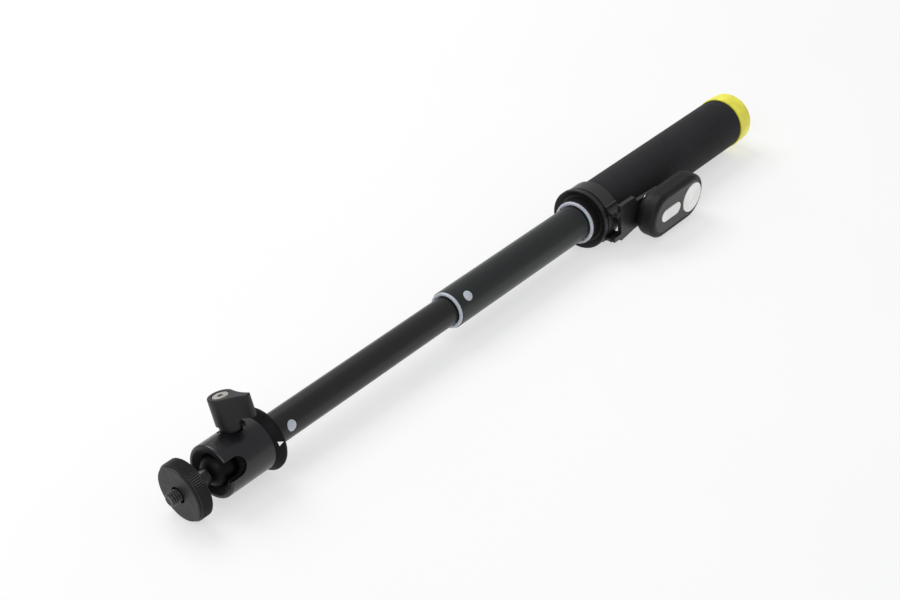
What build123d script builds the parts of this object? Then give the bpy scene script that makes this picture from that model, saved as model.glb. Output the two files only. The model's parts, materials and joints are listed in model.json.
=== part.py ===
from build123d import *
from math import cos, pi, radians, sin, sqrt, tan
import os

# A telescoping selfie stick: three twist-lock tubes, a foam grip with an end cap, a small
# notched ball head with a wing knob, and a clip-on wireless remote on the grip's collar.
# Millimetres. While it is built, the pole's axis is +X with x = 0 at the back of the top
# flange, the ball head on the -X side and the grip on the +X side. +Z is up. At the end
# everything is moved so that the origin is the middle of the footprint of its bounding box.

# --- driving dimensions -------------------------------------------------------------
INNER_TUBE_D = 15.0
MID_TUBE_D = 19.4
OUTER_TUBE_D = 24.4
INNER_WALL = 0.9
MID_WALL = 0.9
OUTER_WALL = 1.1
INNER_EXPOSED = 130.0
MID_EXPOSED = 108.0
GRIP_D = 28.9
FLANGE_D = 30.8
HEAD_D = 25.8
BALL_D = 16.8
SCREW_D = 6.35
PLATFORM_D = 28.4
REMOTE_LENGTH = 50.0
REMOTE_HEIGHT = 26.0
REMOTE_THICKNESS = 12.3

RUN = 0.05
SNUG = 0.02

# --- stations along the pole ---------------------------------------------------------
HEAD_REAR = -4.8
HEAD_FRONT = -32.0
BALL_X = -26.5
KNOB_X = -14.2
MID_MOUTH = INNER_EXPOSED
OUTER_MOUTH = INNER_EXPOSED + MID_EXPOSED
RING_THICKNESS = 1.3
INNER_TUBE_END = 148.0
MID_SLEEVE_END = MID_MOUTH + 19.4
MID_TUBE_END = 264.0
OUTER_SLEEVE_END = OUTER_MOUTH + 27.2
OUTER_TUBE_END = 388.0
COLLAR_FRONT = OUTER_MOUTH + 5.2
LIP_BACK = OUTER_MOUTH + 8.0
GROOVE_BACK = OUTER_MOUTH + 18.9
COLLAR_BACK = OUTER_MOUTH + 19.7
GRIP_END = 384.3
CAP_END = 397.2
CAP_FLOOR = 2.2
CAP_PLUG_BORE = 8.6
CAP_PLUG_FRONT = 383.0

# --- directions round the pole -------------------------------------------------------
KNOB_LEAN = 19.0
NOTCH_ANGLE = -65.2
INNER_NUB_ANGLE = -68.7
MID_NUB_ANGLE = -42.9
REMOTE_DROOP = 3.0
STEM_TO_BACK = 5.2
STEM_DOWN = 5.4

# --- radii worked out from the driving dimensions ------------------------------------
inner_r = INNER_TUBE_D / 2
mid_r = MID_TUBE_D / 2
outer_r = OUTER_TUBE_D / 2
inner_bore = inner_r - INNER_WALL
mid_bore = mid_r - MID_WALL
outer_bore = outer_r - OUTER_WALL
grip_r = GRIP_D / 2
flange_r = FLANGE_D / 2
head_r = HEAD_D / 2
ball_r = BALL_D / 2
screw_r = SCREW_D / 2
platform_r = PLATFORM_D / 2

# --- ball head -----------------------------------------------------------------------
NECK_R = 3.9
TANG_R = 3.0
NOTCH_HALF = 4.6
MOUTH_R = 10.6
LIP_R = 7.9
BALL_RUN = 0.05
SEAT_FRONT = -22.2
SEAT_BACK = -17.2
CHAMBER_BACK = -16.9
POST_R = 4.0
POST_BACK = -9.9
STUD_R = 2.95
STUD_TIP = -9.2
STUD_END = 15.0
PLATFORM_BACK = 15.6
PLATFORM_FRONT = 21.9
PLATFORM_BEVEL = 0.7
TANG_BOTTOM = -5.0
TANG_TOP = 10.0
SPIGOT_TOP = 18.0
PAD_FRONT = 23.0
PAD_UNDERSIDE = 22.05
PAD_R = 13.2
PAD_FOOT_R = 12.3
PAD_FOOT_DEPTH = 0.6
SCREW_PROUD = 5.0
KNURL_TEETH = 84
KNURL_DEPTH = 0.42

# --- wing knob, heights measured from the pole's axis ----------------------------------
KNOB_TOP = 28.1
KNOB_BODY_BOTTOM = 15.3
WING_BOTTOM = 17.6
NECK_BOTTOM = 11.6
KNOB_R = 6.0
KNOB_NECK_R = 5.0
WING_REACH = 14.4
WING_TIP_HALF = 1.7
WING_HEADING = 77.0
SPOTFACE_R = 6.5
SPOTFACE_FLOOR = 11.2
LOCK_SCREW_R = 2.45
LOCK_SCREW_TIP = 6.2
LOCK_HEAD_R = 4.0
LOCK_HEAD_BOTTOM = 26.0
LOCK_HEAD_TOP = 27.9
HEX_ACROSS = 2.5
HEX_DEPTH = 1.3
PRESSURE_TIP = 3.0
PRESSURE_SHOULDER = 4.4
PRESSURE_TIP_R = 1.2
PRESSURE_R = 1.75
SEAT_CONE_MIDDLE = 3.3
SEAT_CONE_LENGTH = 4.0
SEAT_CONE_POINT_R = 0.4

# --- nubs and lock parts ----------------------------------------------------------------
NUB_R = 2.6
INNER_NUB_X = 12.0
MID_NUB_X = 138.8
OUTER_NUB_X = 248.0
HIDDEN_NUB_DEPTH = 0.1
PLUG_END = 24.0
SOCKET_DEPTH = 2.0
MID_RING_R = 9.35
MID_COUNTERBORE_R = 8.2
OUTER_RING_R = 11.6
OUTER_COUNTERBORE_R = 10.4
COUNTERBORE_DEPTH = 1.0
INNER_CORE_PLUG = 12.0
INNER_JOURNAL_R = 4.5
INNER_JOURNAL_LENGTH = 8.0
INNER_STOP_R = 6.0
MID_CORE_PLUG = 10.0
MID_JOURNAL_R = 5.5
MID_JOURNAL_LENGTH = 10.0
MID_STOP_R = 7.5
CORE_SHOULDER = 1.5
CORE_STOP_LENGTH = 2.0
SLIT_WIDTH = 1.6

# --- clip and remote --------------------------------------------------------------------
LIP_OUTER_R = 16.5
LIP_RIM_R = 15.8
LIP_RECESS_R = 13.2
LIP_RECESS_DEPTH = 1.4
GROOVE_R = 13.9
RIB_R = 14.9
BAND_IN_R = 13.97
BAND_OUT_R = 16.0
BAND_FRONT = OUTER_MOUTH + 9.2
BAND_BACK = OUTER_MOUTH + 18.6
BAND_GAP_HALF_ANGLE = 32.0
WEB_CENTRE = (12.0, 16.6)
WEB_IN_R = 3.7
WEB_OUT_R = 5.3
WEB_WINDOW_CENTRE = (7.4, 14.9)
WEB_WINDOW_SIZE = (6.4, 6.6)
WEB_LAND = (6.0, 8.9)
WEB_LAND_LENGTH = 9.4
WEB_LAND_DEPTH = 0.4
PLATE_IN = 17.4
PLATE_OUT = 19.6
PLATE_TOP_CORNER = (250.6, 12.4)
PLATE_EAR = (264.2, 12.0)
PLATE_EAR_FOOT = (266.8, 8.6)
PLATE_HEEL = (266.8, -8.8)
PLATE_BOTTOM_CORNER = (255.2, -10.6)
PLATE_TAIL_HALF = 7.4
PLATE_BACK = 288.0
RAIL_FRONT = 270.0
RAIL_NECK_HALF = 4.0
RAIL_HEAD_HALF = 5.6
RAIL_NECK_TOP = 20.9
RAIL_HEAD_TOP = 22.0
REMOTE_BACK_W = 19.9
REMOTE_SPLIT_W = 26.2
REMOTE_FLOOR_W = 23.6
REMOTE_X = 289.0
REMOTE_CORNER = 12.6
SHELL_WALL = 1.4
BACK_ROUND = 5.4
FRONT_ROUND = 2.5
FACE_LENGTH = 43.8
FACE_HEIGHT = 20.5
FACE_CORNER = 9.8
FACE_SHIFT = 0.7
SHUTTER_SHIFT = 13.8
SHUTTER_R = 8.5
MODE_SHIFT = -6.8
MODE_LENGTH = 17.6
MODE_HEIGHT = 7.2
BUTTON_GAP = 0.25
BUTTON_PROUD = 0.35
REMOTE_SCREW_SHIFTS = (-16.0, 4.0)
REMOTE_SCREW_ACROSS = 8.2
REMOTE_SCREW_R = 0.9
REMOTE_SCREW_HEAD_R = 1.7
REMOTE_SCREW_HEAD_SINK = 0.7
REMOTE_SCREW_HEAD_HEIGHT = 0.75
REMOTE_SCREW_SLOT = (2.6, 0.4, 0.3)
REMOTE_BOSS_R = 1.9
CELL_SHIFT = -4.0
CELL_R = 8.0
SWITCH_HALF = 2.6
REMOTE_FRONT_W = REMOTE_BACK_W + REMOTE_THICKNESS
FACE_LOW_W = REMOTE_FRONT_W - 1.4
FACE_TOP_W = REMOTE_FRONT_W - 0.15
CAVITY_TOP_W = FACE_LOW_W - 1.0
BOARD_LOW_W = REMOTE_FLOOR_W + 2.8
BOARD_TOP_W = BOARD_LOW_W + 0.8
SWITCH_TOP_W = BOARD_TOP_W + 0.8


def turned(points, rounds=None):
    """A ring or shaft on the pole's axis: (x, radius) points turned round X, some corners rounded."""
    face = make_face(Polyline(*points, close=True))
    for index, radius in (rounds or {}).items():
        corner = face.vertices().sort_by_distance((points[index][0], points[index][1], 0))[0]
        face = fillet(corner, radius)
    return revolve(face, Axis.X)


def rod(x_from, x_to, radius):
    """A plain cylinder on the pole's axis."""
    return turned([(x_from, 0), (x_to, 0), (x_to, radius), (x_from, radius)])


def tube(x_from, x_to, bore, radius):
    """A plain tube on the pole's axis."""
    return turned([(x_from, bore), (x_to, bore), (x_to, radius), (x_from, radius)])


def radial(x, angle):
    """A plane through the axis at x whose normal leans by angle from +Z towards +Y."""
    lean = radians(angle)
    return Plane(origin=(x, 0, 0), x_dir=(1, 0, 0), z_dir=(0, sin(lean), cos(lean)))


def pin(plane, radius, low, high):
    """A cylinder along the plane's normal between two heights."""
    return plane * upright(radius, low, high)


def upright(radius, low, high):
    """A cylinder on Z between two heights."""
    return Pos(0, 0, (low + high) / 2) * Cylinder(radius, high - low)


def stem_plane():
    """The ball's centre, with the normal along the stem."""
    out = (-1, tan(radians(STEM_TO_BACK)), -tan(radians(STEM_DOWN)))
    return Plane(origin=(BALL_X, 0, 0), x_dir=(0, 1, 0), z_dir=out)


def remote_plane():
    """On the pole's axis: local X runs along the pole and the normal points out through the remote."""
    droop = radians(REMOTE_DROOP)
    return Plane(origin=(0, 0, 0), x_dir=(1, 0, 0), z_dir=(0, -cos(droop), -sin(droop)))


def stadium_block(length, height, corner, low, high, shift=0.0):
    """A block with rounded corners, seen from its face, between two distances from the axis."""
    outline = RectangleRounded(length, height, corner)
    return remote_plane() * (Pos(REMOTE_X + shift, 0, low) * extrude(outline, high - low))


def remote_pin(shift, across, radius, low, high):
    """A cylinder along the remote's normal."""
    middle = (low + high) / 2
    return remote_plane() * (Pos(REMOTE_X + shift, across, middle) * Cylinder(radius, high - low))


def remote_box(x_from, x_to, v_from, v_to, w_from, w_to):
    """A box in the remote's own directions."""
    size = (x_to - x_from, v_to - v_from, w_to - w_from)
    middle = ((x_from + x_to) / 2, (v_from + v_to) / 2, (w_from + w_to) / 2)
    return remote_plane() * (Pos(*middle) * Box(*size))


# --- ball head pieces -----------------------------------------------------------------

def camera_screw():
    """The standard tripod screw that stands out of the platform, on a plain neck inside the pad."""
    shank = upright(screw_r, PAD_FRONT, PAD_FRONT + SCREW_PROUD)
    shank = chamfer(shank.edges().group_by(Axis.Z)[-1], 0.6)
    return stem_plane() * (shank + upright(TANG_R, SPIGOT_TOP, PAD_FRONT))


def platform_disc():
    """The knurled disc: a toothed rim between two plain bevels, with a shallow pocket for its pad."""
    teeth = []
    for step in range(KNURL_TEETH * 2):
        angle = pi * step / KNURL_TEETH
        radius = platform_r - (KNURL_DEPTH if step % 2 else 0)
        teeth.append((radius * cos(angle), radius * sin(angle)))
    rim = extrude(make_face(Polyline(*teeth, close=True)), PLATFORM_FRONT - PLATFORM_BACK)
    bevel = PLATFORM_BEVEL
    height = PLATFORM_FRONT - PLATFORM_BACK
    sides = [(0, 0), (platform_r - bevel, 0), (platform_r + 0.2, bevel + 0.2)]
    sides += [(platform_r + 0.2, height - bevel - 0.2), (platform_r - bevel, height), (0, height)]
    envelope = revolve(make_face(Plane.XZ * Polyline(*sides, close=True)), Axis.Z)
    disc = rim & envelope
    pocket = upright(PAD_FOOT_R + RUN, height - PAD_FOOT_DEPTH, height)
    bore = upright(TANG_R + RUN, 0, height)
    return stem_plane() * (Pos(0, 0, PLATFORM_BACK) * (disc - pocket - bore))


def platform_pad():
    """The flat friction pad on the platform: its foot sits in the pocket and its rim stands proud."""
    pad = upright(PAD_R, PAD_UNDERSIDE, PAD_FRONT)
    pad = chamfer(pad.edges().group_by(Axis.Z)[-1], 0.25)
    pad += upright(PAD_FOOT_R, PLATFORM_FRONT - PAD_FOOT_DEPTH, PAD_UNDERSIDE)
    return stem_plane() * (pad - upright(screw_r + 0.9, PLATFORM_BACK, PAD_FRONT + 1))


def ball():
    """The ball, bored for the neck's tang."""
    return stem_plane() * (Sphere(ball_r) - upright(TANG_R + RUN, TANG_BOTTOM - 0.1, ball_r + 1))


def ball_neck():
    """The neck: a tang in the ball, a round neck and a spigot that carries the platform."""
    tang = upright(TANG_R, TANG_BOTTOM, TANG_TOP)
    neck = upright(NECK_R, ball_r - 1, PLATFORM_BACK) - Sphere(ball_r + RUN)
    spigot = upright(TANG_R, PLATFORM_BACK, SPIGOT_TOP)
    return stem_plane() * (tang + neck + spigot)


def head_housing():
    """The head's body: a cylinder with a conical mouth, the ball's chamber, a notch and a flat
    spot-face for the knob."""
    reach = sqrt(ball_r ** 2 - LIP_R ** 2)
    outline = [(HEAD_REAR, 0), (HEAD_REAR, head_r), (HEAD_FRONT, head_r), (HEAD_FRONT, MOUTH_R)]
    outline += [(BALL_X - reach, LIP_R), (BALL_X - reach, 0)]
    body = turned(outline, {1: 0.35, 2: 1.3, 3: 0.3})
    chamber_r = ball_r + BALL_RUN
    chamber = Pos(BALL_X, 0, 0) * Sphere(chamber_r) + rod(BALL_X, CHAMBER_BACK, chamber_r)
    post_hole = rod(CHAMBER_BACK - 1, POST_BACK + 0.3, POST_R + RUN)
    stud_hole = rod(POST_BACK, HEAD_REAR + 1, STUD_R + SNUG)
    notch = radial(BALL_X, NOTCH_ANGLE)
    slot = pin(notch, NOTCH_HALF, 0, head_r + 4)
    slot += notch * (Pos(-10, 0, (head_r + 4) / 2) * Box(20, 2 * NOTCH_HALF, head_r + 4))
    knob = radial(KNOB_X, KNOB_LEAN)
    spotface = pin(knob, SPOTFACE_R, SPOTFACE_FLOOR, head_r + 6)
    thread = pin(knob, LOCK_SCREW_R + RUN, 0, SPOTFACE_FLOOR + 1)
    return body - chamber - post_hole - stud_hole - slot - spotface - thread


def ball_seat():
    """The plastic cup behind the ball; a cone in its post takes the lock screw's pad."""
    hollow_r = ball_r + BALL_RUN
    front_r = sqrt(hollow_r ** 2 - (SEAT_FRONT - BALL_X) ** 2)
    middle = (BALL_X + hollow_r * cos(radians(30)), hollow_r * sin(radians(30)))
    bowl = ThreePointArc((SEAT_FRONT, front_r), middle, (BALL_X + hollow_r, 0))
    rim = Polyline((BALL_X + hollow_r, 0), (POST_BACK, 0), (POST_BACK, POST_R), (SEAT_BACK, POST_R),
                   (SEAT_BACK, ball_r), (SEAT_FRONT, ball_r), (SEAT_FRONT, front_r))
    seat = revolve(make_face([bowl, *rim.edges()]), Axis.X)
    knob = radial(KNOB_X, KNOB_LEAN)
    cone = Pos(0, 0, SEAT_CONE_MIDDLE) * Cone(SEAT_CONE_POINT_R, LOCK_SCREW_R + 0.15, SEAT_CONE_LENGTH)
    return seat - knob * cone


def pressure_pad():
    """The pad under the lock screw: it does not turn, it wedges the seat against the ball."""
    knob = radial(KNOB_X, KNOB_LEAN)
    tip = Cone(PRESSURE_TIP_R, PRESSURE_R, PRESSURE_SHOULDER - PRESSURE_TIP)
    tip = Pos(0, 0, (PRESSURE_TIP + PRESSURE_SHOULDER) / 2) * tip
    return knob * (tip + upright(PRESSURE_R, PRESSURE_SHOULDER, LOCK_SCREW_TIP))


def wing_outline(reach, tip_half):
    """The knob from above: a round end whose flanks sweep in to a blunt wing tip."""
    start = 62.0
    left = (KNOB_R * cos(radians(start)), KNOB_R * sin(radians(start)))
    right = (left[0], -left[1])
    out = (-sin(radians(start)), cos(radians(start)))
    heel = ThreePointArc(left, (-KNOB_R, 0), right)
    upper = Spline((reach, tip_half), left, tangents=((-1, 0.02), out))
    lower = Spline(right, (reach, -tip_half), tangents=((-out[0], out[1]), (1, 0.02)))
    tip = ThreePointArc((reach, -tip_half), (reach + 0.5, 0), (reach, tip_half))
    return make_face([upper, heel, lower, tip])


def lock_knob():
    """The wing knob that clamps the ball."""
    plane = radial(KNOB_X, KNOB_LEAN)
    wing = extrude(wing_outline(WING_REACH, WING_TIP_HALF), KNOB_TOP - WING_BOTTOM)
    wing = Pos(0, 0, WING_BOTTOM) * wing
    wing = fillet(wing.edges().group_by(Axis.Z)[-1], 0.5)
    body = upright(KNOB_R, KNOB_BODY_BOTTOM, WING_BOTTOM + 2)
    neck = upright(KNOB_NECK_R, NECK_BOTTOM, KNOB_BODY_BOTTOM)
    shank_hole = upright(LOCK_SCREW_R + SNUG, NECK_BOTTOM - 1, KNOB_TOP + 1)
    head_hole = upright(LOCK_HEAD_R + 0.1, LOCK_HEAD_BOTTOM, KNOB_TOP + 1)
    knob = Rot(0, 0, -WING_HEADING) * (wing + body + neck - shank_hole - head_hole)
    return plane * knob


def lock_screw():
    """The bright socket screw that joins the knob to its pad."""
    plane = radial(KNOB_X, KNOB_LEAN)
    shank = upright(LOCK_SCREW_R, LOCK_SCREW_TIP, LOCK_HEAD_BOTTOM)
    head = upright(LOCK_HEAD_R, LOCK_HEAD_BOTTOM, LOCK_HEAD_TOP)
    head = chamfer(head.edges().group_by(Axis.Z)[-1], 0.35)
    hexagon = extrude(RegularPolygon(HEX_ACROSS / sqrt(3), 6), HEX_DEPTH + 0.1)
    socket = Pos(0, 0, LOCK_HEAD_TOP - HEX_DEPTH) * hexagon
    return plane * (shank + head - socket)


# --- top of the pole --------------------------------------------------------------------

def top_flange():
    """The conical collar between the head and the inner tube."""
    hole = STUD_R + 0.1
    socket = inner_r + SNUG
    outline = [(HEAD_REAR, hole), (HEAD_REAR, head_r), (-1.5, flange_r), (0, flange_r - 0.2)]
    outline += [(0, socket), (-SOCKET_DEPTH, socket), (-SOCKET_DEPTH, hole)]
    return turned(outline, {2: 0.5, 3: 0.4})


def head_stud():
    """The threaded stud that holds the head on the pole."""
    return rod(STUD_TIP, STUD_END, STUD_R)


def top_plug():
    """The plug in the top of the inner tube, with its round snap nub."""
    plug = tube(-SOCKET_DEPTH, PLUG_END, STUD_R + SNUG, inner_bore - SNUG)
    nub = pin(radial(INNER_NUB_X, INNER_NUB_ANGLE), NUB_R, 5.0, inner_r + 1)
    return plug + (nub & rod(0, PLUG_END, inner_r))


def drilled(solid, x, angle, radius):
    """The tube with the hole that its bush's nub snaps into."""
    return solid - pin(radial(x, angle), NUB_R + 0.1, radius - 3, radius + 3)


def inner_tube():
    """The narrow top tube."""
    wall = tube(-SOCKET_DEPTH, INNER_TUBE_END, inner_bore, inner_r)
    return drilled(wall, INNER_NUB_X, INNER_NUB_ANGLE, inner_r)


def lock_core(tube_end, bore, outside, plug_length, journal_r, journal_length, stop_r):
    """The core of a twist lock: a plug in the tube's end and a journal for the split sleeve."""
    shoulder = tube_end + CORE_SHOULDER
    journal_end = shoulder + journal_length
    outline = [(tube_end - plug_length, 0), (tube_end - plug_length, bore - SNUG)]
    outline += [(tube_end, bore - SNUG), (tube_end, outside), (shoulder, outside)]
    outline += [(shoulder, journal_r), (journal_end, journal_r), (journal_end, stop_r)]
    outline += [(journal_end + CORE_STOP_LENGTH, stop_r), (journal_end + CORE_STOP_LENGTH, 0)]
    return turned(outline)


def lock_sleeve(tube_end, journal_r, journal_length, outside):
    """The split sleeve that grips the next tube's bore."""
    start = tube_end + CORE_SHOULDER + 0.1
    end = tube_end + CORE_SHOULDER - 0.1 + journal_length
    ring = tube(start, end, journal_r + RUN, outside - RUN)
    slit = Pos((start + end) / 2, 0, -outside / 2 - journal_r / 2)
    return ring - slit * Box(end - start + 2, SLIT_WIDTH, outside - journal_r + 4)


def mouth_bush(mouth, sleeve_end, bore, tube_bore, ring_r, counterbore_r):
    """The light ring at a tube's mouth, a little clear of the tube inside it, and its sleeve."""
    back = mouth + RING_THICKNESS
    floor = mouth + COUNTERBORE_DEPTH
    outline = [(mouth, counterbore_r), (mouth, ring_r), (back, ring_r), (back, tube_bore - SNUG)]
    outline += [(sleeve_end, tube_bore - SNUG), (sleeve_end, bore + RUN)]
    outline += [(floor, bore + RUN), (floor, counterbore_r)]
    return turned(outline, {1: 0.3})


def snap_nub(x, angle, tube_bore, top):
    """The round nub that holds a bush in its tube."""
    root = tube_bore - 0.6
    return pin(radial(x, angle), NUB_R, root, top + 1) & tube(x - 5, x + 5, root, top)


def mid_bush():
    """The bush at the middle tube's mouth; its nub is flush with the tube."""
    bush = mouth_bush(MID_MOUTH, MID_SLEEVE_END, inner_r, mid_bore, MID_RING_R, MID_COUNTERBORE_R)
    return bush + snap_nub(MID_NUB_X, MID_NUB_ANGLE, mid_bore, mid_r)


def mid_tube():
    """The middle tube."""
    wall = tube(MID_MOUTH + RING_THICKNESS, MID_TUBE_END, mid_bore, mid_r)
    return drilled(wall, MID_NUB_X, MID_NUB_ANGLE, mid_r)


# --- grip --------------------------------------------------------------------------------

def outer_bush():
    """The bush at the grip's mouth; its nub is hidden under the collar."""
    bush = mouth_bush(OUTER_MOUTH, OUTER_SLEEVE_END, mid_r, outer_bore, OUTER_RING_R, OUTER_COUNTERBORE_R)
    return bush + snap_nub(OUTER_NUB_X, MID_NUB_ANGLE, outer_bore, outer_r - HIDDEN_NUB_DEPTH)


def outer_tube():
    """The wide tube inside the grip."""
    wall = tube(OUTER_MOUTH + RING_THICKNESS, OUTER_TUBE_END, outer_bore, outer_r)
    return drilled(wall, OUTER_NUB_X, MID_NUB_ANGLE, outer_r)


def grip_collar():
    """The collar at the grip's mouth: a lip dished in front, and a groove for the clip."""
    bore = outer_r + SNUG
    recess_floor = COLLAR_FRONT + LIP_RECESS_DEPTH
    outline = [(COLLAR_FRONT, LIP_RIM_R), (COLLAR_FRONT, LIP_OUTER_R), (LIP_BACK, LIP_OUTER_R)]
    outline += [(LIP_BACK, GROOVE_R), (GROOVE_BACK, GROOVE_R), (GROOVE_BACK, RIB_R)]
    outline += [(COLLAR_BACK, RIB_R), (COLLAR_BACK, bore), (recess_floor, bore)]
    outline += [(recess_floor, LIP_RECESS_R)]
    return turned(outline, {0: 0.2, 1: 0.35, 2: 0.5, 5: 0.25})


def grip_foam():
    """The foam sleeve."""
    outline = [(COLLAR_BACK, outer_r + SNUG), (COLLAR_BACK, grip_r), (GRIP_END, grip_r)]
    outline += [(GRIP_END, outer_r + SNUG)]
    return turned(outline, {1: 0.8, 2: 0.8})


def end_cap():
    """The coloured cap on the end of the grip, with a hollow plug inside the tube."""
    cap_r = grip_r + 0.5
    floor = CAP_END - CAP_FLOOR
    stop = OUTER_TUBE_END + 0.2
    outline = [(GRIP_END, outer_r + SNUG), (GRIP_END, cap_r), (CAP_END - 1.6, cap_r - 0.5)]
    outline += [(CAP_END, cap_r - 5.0), (CAP_END, 0), (floor, 0), (floor, CAP_PLUG_BORE)]
    outline += [(CAP_PLUG_FRONT, CAP_PLUG_BORE), (CAP_PLUG_FRONT, outer_bore - SNUG)]
    outline += [(stop, outer_bore - SNUG), (stop, outer_r + SNUG)]
    return turned(outline, {1: 0.5, 2: 3.0, 3: 1.6})


# --- clip ---------------------------------------------------------------------------------

def clip_section():
    """The band and its two curled webs, seen along the pole: X is along the plate, Y is outwards."""
    gap = radians(BAND_GAP_HALF_ANGLE)
    across = 2 * BAND_OUT_R * sin(gap)
    down = -2 * BAND_OUT_R * cos(gap)
    opening = make_face(Polyline((0, 0), (across, down), (-across, down), close=True))
    section = Circle(BAND_OUT_R) - Circle(BAND_IN_R) - opening
    for side in (-1, 1):
        place = Pos(side * WEB_CENTRE[0], WEB_CENTRE[1])
        curl = place * (Circle(WEB_OUT_R) - Circle(WEB_IN_R))
        window = Pos(side * WEB_WINDOW_CENTRE[0], WEB_WINDOW_CENTRE[1]) * Rectangle(*WEB_WINDOW_SIZE)
        section += (curl & window) - Circle(BAND_IN_R)
    return section


def remote_clip():
    """The snap-on clip: a spring band round the collar, webs, a plate and the remote's rail."""
    plane = Plane(origin=(BAND_FRONT, 0, 0), x_dir=remote_plane().y_dir, z_dir=(-1, 0, 0))
    outward = remote_plane().z_dir
    flip = plane.y_dir.dot(outward) < 0
    section = clip_section()
    if flip:
        section = mirror(section, Plane.XZ)
    body = plane * extrude(section, BAND_FRONT - BAND_BACK)
    tail = [(PLATE_BACK, PLATE_TAIL_HALF), (PLATE_BACK, -PLATE_TAIL_HALF)]
    outline = [PLATE_TOP_CORNER, PLATE_EAR, PLATE_EAR_FOOT, *tail, PLATE_HEEL, PLATE_BOTTOM_CORNER]
    plate = extrude(make_face(Polyline(*outline, close=True)), PLATE_OUT - PLATE_IN)
    body += remote_plane() * (Pos(0, 0, PLATE_IN) * plate)
    start = BAND_FRONT + 1.4
    near, far = WEB_LAND
    for low, high in ((near, far), (-far, -near)):
        body += remote_box(start, start + WEB_LAND_LENGTH, low, high, PLATE_IN - WEB_LAND_DEPTH, PLATE_OUT)
    neck = RAIL_NECK_HALF
    head = RAIL_HEAD_HALF
    body += remote_box(RAIL_FRONT, PLATE_BACK, -neck, neck, PLATE_OUT, RAIL_NECK_TOP)
    body += remote_box(RAIL_FRONT, PLATE_BACK, -head, head, RAIL_NECK_TOP, RAIL_HEAD_TOP)
    return body


# --- remote -------------------------------------------------------------------------------

def remote_screw_places():
    """Where the four case screws stand, along and across the remote."""
    sides = (-REMOTE_SCREW_ACROSS, REMOTE_SCREW_ACROSS)
    return [(shift, side) for shift in REMOTE_SCREW_SHIFTS for side in sides]


def remote_back():
    """The back shell: rounded edges, a channel for the clip's rail and room for the cell."""
    shell = stadium_block(REMOTE_LENGTH, REMOTE_HEIGHT, REMOTE_CORNER, REMOTE_BACK_W, REMOTE_SPLIT_W)
    outward = remote_plane().z_dir
    rim = shell.edges().sort_by(lambda edge: edge.center().dot(outward))[:8]
    shell = fillet(rim, BACK_ROUND)
    shell -= stadium_block(REMOTE_LENGTH - 2 * SHELL_WALL, REMOTE_HEIGHT - 2 * SHELL_WALL,
                           REMOTE_CORNER - SHELL_WALL, REMOTE_FLOOR_W, REMOTE_SPLIT_W + 1)
    start = REMOTE_X - REMOTE_LENGTH / 2 - 1
    end = PLATE_BACK + 0.3
    slack = 0.12
    head_seat = REMOTE_BACK_W + REMOTE_SCREW_HEAD_SINK + REMOTE_SCREW_HEAD_HEIGHT + RUN
    neck = RAIL_NECK_HALF + slack
    head = RAIL_HEAD_HALF + slack
    shell -= remote_box(start, end, -neck, neck, REMOTE_BACK_W - 1, RAIL_NECK_TOP)
    shell -= remote_box(start, end, -head, head, RAIL_NECK_TOP - slack, RAIL_HEAD_TOP + slack)
    for shift, across in remote_screw_places():
        shell += remote_pin(shift, across, REMOTE_BOSS_R, REMOTE_FLOOR_W - 0.1, BOARD_LOW_W - SNUG)
        shell -= remote_pin(shift, across, REMOTE_SCREW_R + RUN, REMOTE_BACK_W - 1, BOARD_LOW_W + 1)
        shell -= remote_pin(shift, across, REMOTE_SCREW_HEAD_R + 0.2, REMOTE_BACK_W - 1, head_seat)
    return shell


def remote_front():
    """The front shell: a soft rounded bezel with a pocket for the face plate."""
    shell = stadium_block(REMOTE_LENGTH, REMOTE_HEIGHT, REMOTE_CORNER, REMOTE_SPLIT_W, REMOTE_FRONT_W)
    outward = remote_plane().z_dir
    rim = shell.edges().sort_by(lambda edge: edge.center().dot(outward))[-8:]
    shell = fillet(rim, FRONT_ROUND)
    shell -= stadium_block(REMOTE_LENGTH - 2 * SHELL_WALL, REMOTE_HEIGHT - 2 * SHELL_WALL,
                           REMOTE_CORNER - SHELL_WALL, REMOTE_SPLIT_W - 1, CAVITY_TOP_W)
    shell -= stadium_block(FACE_LENGTH + 0.2, FACE_HEIGHT + 0.2, FACE_CORNER + 0.1,
                           FACE_LOW_W, REMOTE_FRONT_W + 1, FACE_SHIFT)
    shell -= remote_pin(SHUTTER_SHIFT, 0, SHUTTER_R + BUTTON_GAP, CAVITY_TOP_W - 1, REMOTE_FRONT_W)
    shell -= stadium_block(MODE_LENGTH + 2 * BUTTON_GAP, MODE_HEIGHT + 2 * BUTTON_GAP,
                           MODE_HEIGHT / 2 + 0.2, CAVITY_TOP_W - 1, REMOTE_FRONT_W, MODE_SHIFT)
    for shift, across in remote_screw_places():
        shell += remote_pin(shift, across, REMOTE_BOSS_R, BOARD_TOP_W + SNUG, CAVITY_TOP_W + 0.1)
        shell -= remote_pin(shift, across, REMOTE_SCREW_R + RUN, BOARD_TOP_W, CAVITY_TOP_W - 0.3)
    return shell


def remote_face():
    """The thin face plate round the two buttons."""
    plate = stadium_block(FACE_LENGTH, FACE_HEIGHT, FACE_CORNER, FACE_LOW_W, FACE_TOP_W, FACE_SHIFT)
    plate -= remote_pin(SHUTTER_SHIFT, 0, SHUTTER_R + BUTTON_GAP, FACE_LOW_W - 1, FACE_TOP_W + 1)
    plate -= stadium_block(MODE_LENGTH + 2 * BUTTON_GAP, MODE_HEIGHT + 2 * BUTTON_GAP,
                           MODE_HEIGHT / 2 + 0.2, FACE_LOW_W - 1, FACE_TOP_W + 1, MODE_SHIFT)
    return plate


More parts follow.
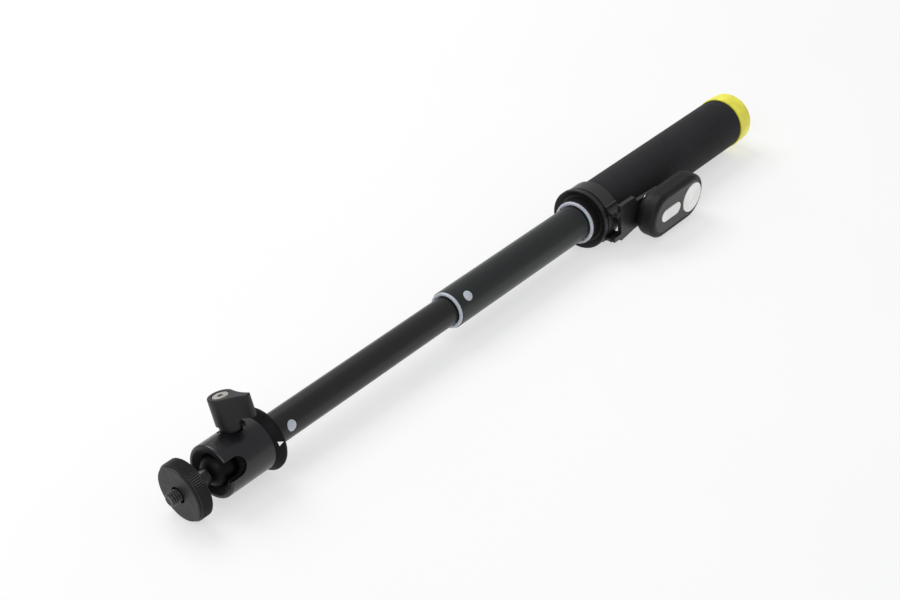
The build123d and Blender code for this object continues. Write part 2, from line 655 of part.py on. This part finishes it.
def shutter_button():
    """The big round button, with a retaining foot and the nose that presses its switch."""
    top = REMOTE_FRONT_W + BUTTON_PROUD
    cap = remote_pin(SHUTTER_SHIFT, 0, SHUTTER_R, CAVITY_TOP_W - 0.1, top)
    outward = remote_plane().z_dir
    cap = fillet(cap.edges().sort_by(lambda edge: edge.center().dot(outward))[-1], 0.45)
    foot = remote_pin(SHUTTER_SHIFT, 0, SHUTTER_R + 0.7, CAVITY_TOP_W - 0.7, CAVITY_TOP_W - 0.1)
    nose = remote_pin(SHUTTER_SHIFT, 0, 1.6, SWITCH_TOP_W + 0.5, CAVITY_TOP_W - 0.3)
    return cap + foot + nose


def mode_button():
    """The small long button, with its retaining foot and nose."""
    top = REMOTE_FRONT_W + BUTTON_PROUD - 0.1
    corner = MODE_HEIGHT / 2 - 0.05
    cap = stadium_block(MODE_LENGTH, MODE_HEIGHT, corner, CAVITY_TOP_W - 0.1, top, MODE_SHIFT)
    outward = remote_plane().z_dir
    rim = cap.edges().sort_by(lambda edge: edge.center().dot(outward))[-8:]
    cap = fillet(rim, 0.35)
    foot = stadium_block(MODE_LENGTH + 1.4, MODE_HEIGHT + 1.4, corner + 0.7,
                         CAVITY_TOP_W - 0.7, CAVITY_TOP_W - 0.1, MODE_SHIFT)
    nose = remote_pin(MODE_SHIFT, 0, 1.4, SWITCH_TOP_W + 0.5, CAVITY_TOP_W - 0.3)
    return cap + foot + nose


def remote_board():
    """The circuit board, held between the two shells."""
    board = stadium_block(REMOTE_LENGTH - 2 * SHELL_WALL - 0.4, REMOTE_HEIGHT - 2 * SHELL_WALL - 0.4,
                          REMOTE_CORNER - SHELL_WALL - 0.2, BOARD_LOW_W, BOARD_TOP_W)
    for shift, across in remote_screw_places():
        board -= remote_pin(shift, across, REMOTE_SCREW_R + RUN, BOARD_LOW_W - 1, BOARD_TOP_W + 1)
    return board


def dome_switch(shift):
    """A square tact switch on the board."""
    half = SWITCH_HALF
    middle = REMOTE_X + shift
    return remote_box(middle - half, middle + half, -half, half, BOARD_TOP_W, SWITCH_TOP_W)


def coin_cell():
    """The flat battery between the board and the back shell."""
    return remote_pin(CELL_SHIFT, 0, CELL_R, REMOTE_FLOOR_W + 0.1, BOARD_LOW_W - 0.1)


def remote_screws():
    """The four screws that hold the shells together, put in from the back."""
    screws = []
    low = REMOTE_BACK_W + REMOTE_SCREW_HEAD_SINK
    high = low + REMOTE_SCREW_HEAD_HEIGHT
    length, width, depth = REMOTE_SCREW_SLOT
    for shift, across in remote_screw_places():
        shank = remote_pin(shift, across, REMOTE_SCREW_R, low + depth, CAVITY_TOP_W - 0.4)
        head = remote_pin(shift, across, REMOTE_SCREW_HEAD_R, low, high)
        middle = REMOTE_X + shift
        slot = remote_box(middle - length / 2, middle + length / 2, across - width / 2, across + width / 2,
                          low - 1, low + depth)
        screws.append(shank + head - slot)
    return Compound(children=screws)


def build_nodes():
    """Every piece by name, in the building frame."""
    nodes = {
        "camera_screw": camera_screw(),
        "platform_disc": platform_disc(),
        "platform_pad": platform_pad(),
        "ball": ball(),
        "ball_neck": ball_neck(),
        "head_housing": head_housing(),
        "ball_seat": ball_seat(),
        "pressure_pad": pressure_pad(),
        "lock_knob": lock_knob(),
        "lock_screw": lock_screw(),
        "top_flange": top_flange(),
        "head_stud": head_stud(),
        "top_plug": top_plug(),
        "inner_tube": inner_tube(),
        "inner_lock_core": lock_core(INNER_TUBE_END, inner_bore, inner_r, INNER_CORE_PLUG, INNER_JOURNAL_R,
                                     INNER_JOURNAL_LENGTH, INNER_STOP_R),
        "inner_lock_sleeve": lock_sleeve(INNER_TUBE_END, INNER_JOURNAL_R, INNER_JOURNAL_LENGTH, mid_bore),
        "mid_bush": mid_bush(),
        "mid_tube": mid_tube(),
        "mid_lock_core": lock_core(MID_TUBE_END, mid_bore, mid_r, MID_CORE_PLUG, MID_JOURNAL_R,
                                   MID_JOURNAL_LENGTH, MID_STOP_R),
        "mid_lock_sleeve": lock_sleeve(MID_TUBE_END, MID_JOURNAL_R, MID_JOURNAL_LENGTH, outer_bore),
        "outer_bush": outer_bush(),
        "outer_tube": outer_tube(),
        "grip_collar": grip_collar(),
        "grip_foam": grip_foam(),
        "end_cap": end_cap(),
        "remote_clip": remote_clip(),
        "remote_back": remote_back(),
        "remote_front": remote_front(),
        "remote_face": remote_face(),
        "shutter_button": shutter_button(),
        "mode_button": mode_button(),
        "remote_board": remote_board(),
        "shutter_switch": dome_switch(SHUTTER_SHIFT),
        "mode_switch": dome_switch(MODE_SHIFT),
        "coin_cell": coin_cell(),
        "remote_screws": remote_screws(),
    }
    return nodes


nodes = build_nodes()
solids = [solid for node in nodes.values() for solid in node.solids()]
box = Compound(children=solids).bounding_box()
origin_x = (box.min.X + box.max.X) / 2
origin_y = (box.min.Y + box.max.Y) / 2
origin_z = box.min.Z
home = Location((-origin_x, -origin_y, -origin_z))
os.makedirs("parts", exist_ok=True)
for name, node in nodes.items():
    export_step(home * node, f"parts/{name}.step")
print("origin in the building frame", round(origin_x, 4), round(origin_y, 4), round(origin_z, 4))
print("size", [round(v, 3) for v in box.size])
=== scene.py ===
import json
import math

import bmesh
import bpy
from mathutils import Matrix, Vector, noise


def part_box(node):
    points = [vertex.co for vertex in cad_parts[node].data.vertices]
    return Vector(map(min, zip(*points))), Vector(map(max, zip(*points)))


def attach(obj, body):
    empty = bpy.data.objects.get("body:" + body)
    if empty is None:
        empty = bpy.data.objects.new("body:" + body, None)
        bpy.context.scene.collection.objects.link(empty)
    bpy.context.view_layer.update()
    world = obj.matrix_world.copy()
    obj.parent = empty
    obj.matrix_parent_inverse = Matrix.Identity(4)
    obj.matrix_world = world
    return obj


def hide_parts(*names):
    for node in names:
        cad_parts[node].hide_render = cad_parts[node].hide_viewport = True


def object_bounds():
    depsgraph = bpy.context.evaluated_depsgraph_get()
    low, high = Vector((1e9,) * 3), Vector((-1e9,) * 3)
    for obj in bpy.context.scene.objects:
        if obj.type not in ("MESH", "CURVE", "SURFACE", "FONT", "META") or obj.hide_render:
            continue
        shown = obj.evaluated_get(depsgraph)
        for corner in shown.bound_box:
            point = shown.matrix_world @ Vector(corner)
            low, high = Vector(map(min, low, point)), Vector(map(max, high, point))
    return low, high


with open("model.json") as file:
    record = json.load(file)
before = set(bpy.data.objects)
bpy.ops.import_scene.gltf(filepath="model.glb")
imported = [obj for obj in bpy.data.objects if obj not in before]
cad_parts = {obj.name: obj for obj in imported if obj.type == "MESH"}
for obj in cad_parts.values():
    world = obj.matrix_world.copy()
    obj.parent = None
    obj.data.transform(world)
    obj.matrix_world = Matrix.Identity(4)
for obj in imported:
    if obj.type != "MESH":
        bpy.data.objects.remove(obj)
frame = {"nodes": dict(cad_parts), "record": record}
cad_low, cad_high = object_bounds()

# A selfie stick: telescoping tubes, foam grip, ball head and clip-on remote. The pole runs
# along +X. at() gives a place from the pole's axis, in millimetres, where x = 0 is the back
# of the top flange.

MM = 0.001
grip_low, grip_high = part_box("grip_foam")
AXIS = (grip_low + grip_high) / 2
FLANGE_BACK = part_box("top_flange")[1].x


def at(x, y, z):
    """A point measured from the pole's axis in millimetres, as a place in the frame."""
    return Vector((FLANGE_BACK + x * MM, AXIS.y + y * MM, AXIS.z + z * MM))


# --- camera, floor and light ---------------------------------------------------------------

CAMERA_AT = (-461.9, -464.9, 480.2)
CAMERA_LOOK = (0.6668, 0.5210, -0.5328)
LENS = 74.0
SENSOR = 36.0

camera_data = bpy.data.cameras.new("camera")
camera_data.lens = LENS
camera_data.sensor_width = SENSOR
camera = bpy.data.objects.new("camera", camera_data)
camera.location = at(*CAMERA_AT)
camera.rotation_mode = "QUATERNION"
camera.rotation_quaternion = Vector(CAMERA_LOOK).to_track_quat("-Z", "Y")
bpy.context.scene.collection.objects.link(camera)
bpy.context.scene.camera = camera
bpy.context.scene.view_settings.view_transform = "Standard"


def new_object(name, mesh):
    """A mesh as an object in the scene."""
    made = bpy.data.objects.new(name, mesh)
    bpy.context.scene.collection.objects.link(made)
    return made


def area_light(name, place, target, size, power, colour):
    """A square soft light that looks at a target."""
    data = bpy.data.lights.new(name, "AREA")
    data.size = size
    data.energy = power
    data.color = colour
    lamp = bpy.data.objects.new(name, data)
    lamp.location = place
    lamp.rotation_mode = "QUATERNION"
    lamp.rotation_quaternion = (target - place).to_track_quat("-Z", "Y")
    bpy.context.scene.collection.objects.link(lamp)
    return lamp


middle = at(170, 0, 0)
area_light("key", middle + Vector((0.05, 0.75, 1.05)), middle, 0.8, 9.0, (1.0, 0.99, 0.975))
area_light("fill", middle + Vector((-1.3, -0.35, 0.9)), middle, 1.0, 6.4, (0.97, 0.985, 1.0))

world = bpy.data.worlds.new("studio")
world.use_nodes = True
world.node_tree.nodes["Background"].inputs["Color"].default_value = (0.97, 0.98, 1.0, 1.0)
world.node_tree.nodes["Background"].inputs["Strength"].default_value = 0.56
bpy.context.scene.world = world


# --- materials ------------------------------------------------------------------------------

def link(tree, source, target):
    tree.links.new(source, target)


def noise_node(tree, coords, scale, detail=4.0, roughness=0.55):
    made = tree.nodes.new("ShaderNodeTexNoise")
    made.inputs["Scale"].default_value = scale
    made.inputs["Detail"].default_value = detail
    made.inputs["Roughness"].default_value = roughness
    link(tree, coords, made.inputs["Vector"])
    return made


def ramp_between(tree, factor, low, high, start=0.35, end=0.65):
    """Two colours mixed by a noise factor."""
    ramp = tree.nodes.new("ShaderNodeValToRGB")
    ramp.color_ramp.elements[0].position = start
    ramp.color_ramp.elements[0].color = (*low, 1.0)
    ramp.color_ramp.elements[1].position = end
    ramp.color_ramp.elements[1].color = (*high, 1.0)
    link(tree, factor, ramp.inputs["Fac"])
    return ramp.outputs["Color"]


def range_between(tree, factor, low, high):
    """A number that follows a noise factor between two values."""
    made = tree.nodes.new("ShaderNodeMapRange")
    made.inputs["From Min"].default_value = 0.3
    made.inputs["From Max"].default_value = 0.7
    made.inputs["To Min"].default_value = low
    made.inputs["To Max"].default_value = high
    link(tree, factor, made.inputs["Value"])
    return made.outputs["Result"]


def shaded(tint):
    """A colour a little darker and one a little lighter than the given one."""
    return tuple(c * 0.86 for c in tint), tuple(min(c * 1.14, 1.0) for c in tint)


def surface(name, colour, rough, rough_spread=0.06, metallic=0.0, grain=900.0, depth=0.00002,
            strength=0.35, stretch=(1.0, 1.0, 1.0), mottle=90.0, pebble=0.0, **sockets):
    """A finish: mottled colour, uneven roughness and a fine grain bump, with fixed shader sockets."""
    made = bpy.data.materials.new(name)
    made.use_nodes = True
    tree = made.node_tree
    shader = tree.nodes["Principled BSDF"]
    coords = tree.nodes.new("ShaderNodeTexCoord")
    mapping = tree.nodes.new("ShaderNodeMapping")
    mapping.inputs["Scale"].default_value = stretch
    link(tree, coords.outputs["Object"], mapping.inputs["Vector"])
    place = mapping.outputs["Vector"]
    patches = noise_node(tree, place, mottle, 5.0)
    low, high = shaded(colour)
    link(tree, ramp_between(tree, patches.outputs["Fac"], low, high), shader.inputs["Base Color"])
    wear = noise_node(tree, place, mottle * 3.7, 6.0, 0.65)
    link(tree, range_between(tree, wear.outputs["Fac"], rough - rough_spread, rough + rough_spread),
         shader.inputs["Roughness"])
    fine = noise_node(tree, place, grain, 3.0, 0.6)
    height = fine.outputs["Fac"]
    if pebble:
        cells = tree.nodes.new("ShaderNodeTexVoronoi")
        cells.inputs["Scale"].default_value = pebble
        link(tree, place, cells.inputs["Vector"])
        total = tree.nodes.new("ShaderNodeMath")
        total.operation = "ADD"
        link(tree, cells.outputs["Distance"], total.inputs[0])
        link(tree, height, total.inputs[1])
        height = total.outputs[0]
    bump = tree.nodes.new("ShaderNodeBump")
    bump.inputs["Strength"].default_value = strength
    bump.inputs["Distance"].default_value = depth
    link(tree, height, bump.inputs["Height"])
    link(tree, bump.outputs["Normal"], shader.inputs["Normal"])
    shader.inputs["Metallic"].default_value = metallic
    for socket, value in sockets.items():
        shader.inputs[socket.replace("_", " ")].default_value = value
    return made


DRAWN = (0.04, 1.0, 1.0)

finishes = {
    "black_anodised": surface("black_anodised", (0.0100, 0.0082, 0.0090), 0.33, stretch=DRAWN, grain=2600.0,
                              metallic=0.1, mottle=160.0, Specular_IOR_Level=0.38),
    "charcoal_anodised": surface("charcoal_anodised", (0.0110, 0.0138, 0.0136), 0.33, stretch=DRAWN,
                                 grain=2600.0, metallic=0.1, mottle=160.0, Specular_IOR_Level=0.38),
    "head_charcoal": surface("head_charcoal", (0.0085, 0.0070, 0.0092), 0.27, metallic=0.1, grain=3200.0,
                             depth=0.00003, Specular_IOR_Level=0.48),
    "disc_charcoal": surface("disc_charcoal", (0.0100, 0.0095, 0.0105), 0.42, grain=2600.0, depth=0.00003,
                             Specular_IOR_Level=0.32),
    "ball_black": surface("ball_black", (0.0022, 0.0020, 0.0024), 0.42, grain=2600.0, depth=0.00001,
                          Specular_IOR_Level=0.12),
    "bright_steel": surface("bright_steel", (0.52, 0.50, 0.46), 0.34, metallic=1.0, grain=2200.0,
                            stretch=(1.0, 1.0, 0.3)),
    "thread_steel": surface("thread_steel", (0.045, 0.043, 0.044), 0.32, metallic=0.7, grain=2200.0),
    "black_plastic": surface("black_plastic", (0.0085, 0.0083, 0.0090), 0.40, grain=1700.0, depth=0.00004,
                             pebble=2600.0, Specular_IOR_Level=0.36),
    "flange_plastic": surface("flange_plastic", (0.0026, 0.0028, 0.0036), 0.55, grain=2300.0,
                              depth=0.00003, Specular_IOR_Level=0.14),
    "clip_plastic": surface("clip_plastic", (0.0150, 0.0142, 0.0150), 0.36, grain=1700.0, depth=0.00004,
                            pebble=2600.0, Specular_IOR_Level=0.46),
    "dark_grey_plastic": surface("dark_grey_plastic", (0.0098, 0.0102, 0.0102), 0.40, grain=1900.0,
                                 depth=0.00003, pebble=3000.0, Specular_IOR_Level=0.32),
    "light_nylon": surface("light_nylon", (0.50, 0.53, 0.59), 0.48, grain=1500.0, Subsurface_Weight=0.12,
                           Subsurface_Scale=0.0015),
    "foam": surface("foam", (0.0095, 0.0090, 0.0110), 0.86, grain=2100.0, depth=0.00012, strength=0.6,
                    pebble=1500.0, mottle=40.0, Sheen_Weight=0.06, Sheen_Roughness=0.5,
                    Specular_IOR_Level=0.24),
    "rubber_pad": surface("rubber_pad", (0.0145, 0.0143, 0.0150), 0.50, grain=2400.0, depth=0.00004,
                          pebble=3200.0, Specular_IOR_Level=0.34),
    "yellow_plastic": surface("yellow_plastic", (0.88, 0.81, 0.088), 0.42, grain=1300.0,
                              Specular_IOR_Level=0.3, Subsurface_Weight=0.40, Subsurface_Scale=0.004,
                              Subsurface_Radius=(1.0, 0.9, 0.3)),
    "white_plastic": surface("white_plastic", (0.97, 0.97, 0.93), 0.24, rough_spread=0.03, grain=900.0,
                             depth=0.00001, Coat_Weight=0.3, Coat_Roughness=0.12),
    "soft_touch": surface("soft_touch", (0.0046, 0.0043, 0.0052), 0.50, grain=2600.0, depth=0.00003,
                          Sheen_Weight=0.04, Sheen_Roughness=0.4, Specular_IOR_Level=0.24),
    "face_plastic": surface("face_plastic", (0.0260, 0.0255, 0.0275), 0.40, grain=2300.0, depth=0.00002,
                            Specular_IOR_Level=0.36),
    "board_green": surface("board_green", (0.02, 0.16, 0.07), 0.4, grain=1400.0),
    "brass": surface("brass", (0.62, 0.44, 0.18), 0.3, metallic=1.0, grain=1800.0),
    "mark_white": surface("mark_white", (0.82, 0.82, 0.82), 0.5, grain=2600.0),
}



def housing_with_painted_shade():
    """The head's finish, with painted shade in its mouth and chamber: a near-black, rougher surface close to the
    axis.
    """
    made = surface("housing_charcoal_painted_shade", (0.0085, 0.0070, 0.0092), 0.27, metallic=0.1, grain=3200.0,
                   depth=0.00003, Specular_IOR_Level=0.48)
    tree = made.node_tree
    shader = tree.nodes["Principled BSDF"]
    coords = tree.nodes.new("ShaderNodeTexCoord")
    across = tree.nodes.new("ShaderNodeVectorMath")
    across.operation = "SUBTRACT"
    across.inputs[1].default_value = (0.0, AXIS.y, AXIS.z)
    link(tree, coords.outputs["Object"], across.inputs[0])
    square = tree.nodes.new("ShaderNodeVectorMath")
    square.operation = "MULTIPLY"
    square.inputs[1].default_value = (0.0, 1.0, 1.0)
    link(tree, across.outputs["Vector"], square.inputs[0])
    radius = tree.nodes.new("ShaderNodeVectorMath")
    radius.operation = "LENGTH"
    link(tree, square.outputs["Vector"], radius.inputs[0])
    # Painted shade: close to the pole's axis, in the mouth and chamber, the base colour turns near black and the
    # surface rougher.
    outside_painted_shade = tree.nodes.new("ShaderNodeMapRange")
    outside_painted_shade.inputs["From Min"].default_value = MOUTH_SHADE_EDGE * MM
    outside_painted_shade.inputs["From Max"].default_value = (MOUTH_SHADE_EDGE + 0.4) * MM
    link(tree, radius.outputs["Value"], outside_painted_shade.inputs["Value"])
    for socket, inner in (("Base Color", (0.0012, 0.0011, 0.0013, 1.0)), ("Roughness", (0.75, 0.75, 0.75, 1.0))):
        mix = tree.nodes.new("ShaderNodeMix")
        mix.data_type = "RGBA"
        mix.inputs["A"].default_value = inner
        link(tree, outside_painted_shade.outputs["Result"], mix.inputs["Factor"])
        link(tree, shader.inputs[socket].links[0].from_socket, mix.inputs["B"])
        link(tree, mix.outputs["Result"], shader.inputs[socket])
    return made


# Radius of the mouth in millimetres; the housing gets painted shade within it.
MOUTH_SHADE_EDGE = 10.9
finishes["housing_charcoal_painted_shade"] = housing_with_painted_shade()

special = {"top_flange": "flange_plastic", "remote_back": "soft_touch", "remote_front": "soft_touch",
           "remote_face": "face_plastic", "remote_clip": "clip_plastic", "ball": "ball_black",
           "platform_disc": "disc_charcoal", "head_housing": "housing_charcoal_painted_shade"}
slots = {entry["node"]: entry["material_slot"] for entry in frame["record"]["subparts"]}


def paint(thing, finish):
    """Gives an object one material."""
    thing.data.materials.clear()
    thing.data.materials.append(finishes[finish])


for node, thing in frame["nodes"].items():
    paint(thing, special.get(node, slots[node]))


# --- mesh helpers ------------------------------------------------------------------------------

def grid_mesh(name, rows, closed=True):
    """A surface through rows of points; each row is a ring if closed."""
    mesh = bpy.data.meshes.new(name)
    width = len(rows[0])
    points = [tuple(point) for row in rows for point in row]
    faces = []
    for i in range(len(rows) - 1):
        for j in range(width if closed else width - 1):
            k = (j + 1) % width
            faces.append((i * width + j, i * width + k, (i + 1) * width + k, (i + 1) * width + j))
    mesh.from_pydata(points, [], faces)
    mesh.validate()
    work = bmesh.new()
    work.from_mesh(mesh)
    bmesh.ops.remove_doubles(work, verts=work.verts, dist=1e-7)
    bmesh.ops.recalc_face_normals(work, faces=work.faces)
    work.to_mesh(mesh)
    work.free()
    mesh.shade_smooth()
    return new_object(name, mesh)


def ring(x, radius, segments):
    """Points round the pole's axis."""
    turn = 2 * math.pi / segments
    return [at(x, radius * math.sin(turn * i), radius * math.cos(turn * i)) for i in range(segments)]


# --- the foam sleeve: soft ends and a faintly uneven, porous skin --------------------------------

def foam_sleeve():
    low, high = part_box("grip_foam")
    start = (low.x - FLANGE_BACK) / MM
    end = (high.x - FLANGE_BACK) / MM
    radius = (high.z - low.z) / 2 / MM
    bore = (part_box("outer_tube")[1].z - AXIS.z) / MM + 0.05
    edge = 1.1
    segments = 220
    steps = 200
    profile = [(start + 0.05, bore), (start + 0.05, radius - edge)]
    for i in range(1, 7):
        turn = math.pi / 2 * i / 6
        profile.append((start + edge - edge * math.cos(turn), radius - edge + edge * math.sin(turn)))
    for i in range(1, steps):
        profile.append((start + edge + (end - start - 2 * edge) * i / steps, radius))
    for i in range(7):
        turn = math.pi / 2 * i / 6
        profile.append((end - edge + edge * math.sin(turn), radius - edge + edge * math.cos(turn)))
    profile += [(end, bore), (start + 0.05, bore)]
    rows = [ring(x, r, segments) for x, r in profile]
    sleeve = grid_mesh("foam_grip_skin", rows)
    sleeve.data.update()
    for vertex in sleeve.data.vertices:
        away = Vector((0, vertex.co.y - AXIS.y, vertex.co.z - AXIS.z))
        if away.length > (bore + 0.6) * MM:
            swell = noise.noise(vertex.co * 260) * 0.035 + noise.noise(vertex.co * 1500) * 0.02 - 0.06
            vertex.co += away.normalized() * swell * MM
    paint(sleeve, "foam")
    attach(sleeve, "grip")
    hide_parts("grip_foam")


foam_sleeve()


# --- the camera screw, with its real thread ------------------------------------------------------

def spun_frame(node_axis):
    """Two directions square to an axis."""
    side = node_axis.cross(Vector((0, 0, 1))).normalized()
    return side, node_axis.cross(side).normalized()


def camera_screw():
    mount = next(m for m in frame["record"]["mounts"] if m["name"] == "camera_screw")
    axis = Vector(mount["axis"]).normalized()
    side, up = spun_frame(axis)
    length = mount["dims"]["length_mm"]
    radius = mount["dims"]["r_mm"]
    root = Vector(mount["pos_m"]) - axis * (length / 2) * MM
    pitch = 1.27
    depth = 0.55
    segments = 72
    bottom = -3.2
    top = length + 0.55
    steps = int((top - bottom) / pitch * 14)
    rows = [[root + axis * bottom * MM] * segments]
    for i in range(steps + 1):
        height = bottom + (top - bottom) * i / steps
        row = []
        for j in range(segments):
            turn = j / segments
            phase = (height / pitch - turn) % 1.0
            crest = abs(phase - 0.5) * 2
            cut = depth * min(max((crest - 0.12) / 0.76, 0.0), 1.0)
            taper = max(0.0, height - (top - 0.75)) * 0.75
            inner = min(1.0, max(0.0, (0.35 - height) / 0.3))
            r = min(radius - cut - 0.01, radius - taper) * (1 - inner) + (radius - 0.25) * inner
            angle = 2 * math.pi * turn
            row.append(root + (axis * height + side * r * math.cos(angle) + up * r * math.sin(angle)) * MM)
        rows.append(row)
    dish = 0.5
    for share, sink in ((0.72, 0.0), (0.6, 0.15), (0.0, dish)):
        row = []
        for j in range(segments):
            angle = 2 * math.pi * j / segments
            r = radius * share
            row.append(root + (axis * (top - sink) + side * r * math.cos(angle) + up * r * math.sin(angle)) * MM)
        rows.append(row)
    screw = grid_mesh("threaded_camera_screw", rows)
    paint(screw, "thread_steel")
    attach(screw, "platform")
    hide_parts("camera_screw")


camera_screw()


# --- the printed pointer on the flange --------------------------------------------------------------

def flange_mark():
    """A small white triangle that lies on the flange's cone."""
    low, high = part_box("top_flange")
    front = (low.x - FLANGE_BACK) / MM
    big = (high.z - low.z) / 2 / MM
    cone_front = 12.9
    cone_back = -1.5
    proud = 0.03

    def on_cone(x, angle):
        radius = cone_front + (big - cone_front) * (x - front) / (cone_back - front) + proud
        turn = math.radians(angle)
        return at(x, radius * math.sin(turn), radius * math.cos(turn))

    corners = ((-3.5, -66.6), (-1.5, -70.0), (-3.3, -75.4))
    mesh = bpy.data.meshes.new("flange_pointer")
    rows = 6
    points = []
    faces = []
    index = {}
    for i in range(rows + 1):
        for j in range(rows + 1 - i):
            a = i / rows
            b = j / rows
            x = corners[0][0] + a * (corners[1][0] - corners[0][0]) + b * (corners[2][0] - corners[0][0])
            g = corners[0][1] + a * (corners[1][1] - corners[0][1]) + b * (corners[2][1] - corners[0][1])
            index[i, j] = len(points)
            points.append(tuple(on_cone(x, g)))
    for i in range(rows):
        for j in range(rows - i):
            faces.append((index[i, j], index[i + 1, j], index[i, j + 1]))
            if j + i < rows - 1:
                faces.append((index[i + 1, j], index[i + 1, j + 1], index[i, j + 1]))
    mesh.from_pydata(points, [], faces)
    mark = new_object("flange_pointer", mesh)
    mark.data.shade_smooth()
    paint(mark, "mark_white")
    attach(mark, "top_section")


flange_mark()


# --- the floor ---------------------------------------------------------------------------------------

def studio_floor():
    mesh = bpy.data.meshes.new("floor")
    reach = 6.0
    corners = [(-reach, -reach, 0.0), (reach, -reach, 0.0), (reach, reach, 0.0), (-reach, reach, 0.0)]
    mesh.from_pydata(corners, [], [(0, 1, 2, 3)])
    floor = new_object("floor", mesh)
    floor.location.z = cad_low.z
    made = bpy.data.materials.new("paper")
    made.use_nodes = True
    tree = made.node_tree
    shader = tree.nodes["Principled BSDF"]
    coords = tree.nodes.new("ShaderNodeTexCoord")
    grain = noise_node(tree, coords.outputs["Object"], 3.0, 4.0)
    colour = ramp_between(tree, grain.outputs["Fac"], (0.370, 0.370, 0.368), (0.382, 0.382, 0.380))
    link(tree, colour, shader.inputs["Base Color"])
    shader.inputs["Roughness"].default_value = 0.8
    shader.inputs["Specular IOR Level"].default_value = 0.1
    shader.inputs["Emission Color"].default_value = (1.0, 1.0, 1.0, 1.0)
    shader.inputs["Emission Strength"].default_value = 0.58
    floor.data.materials.append(made)


studio_floor()
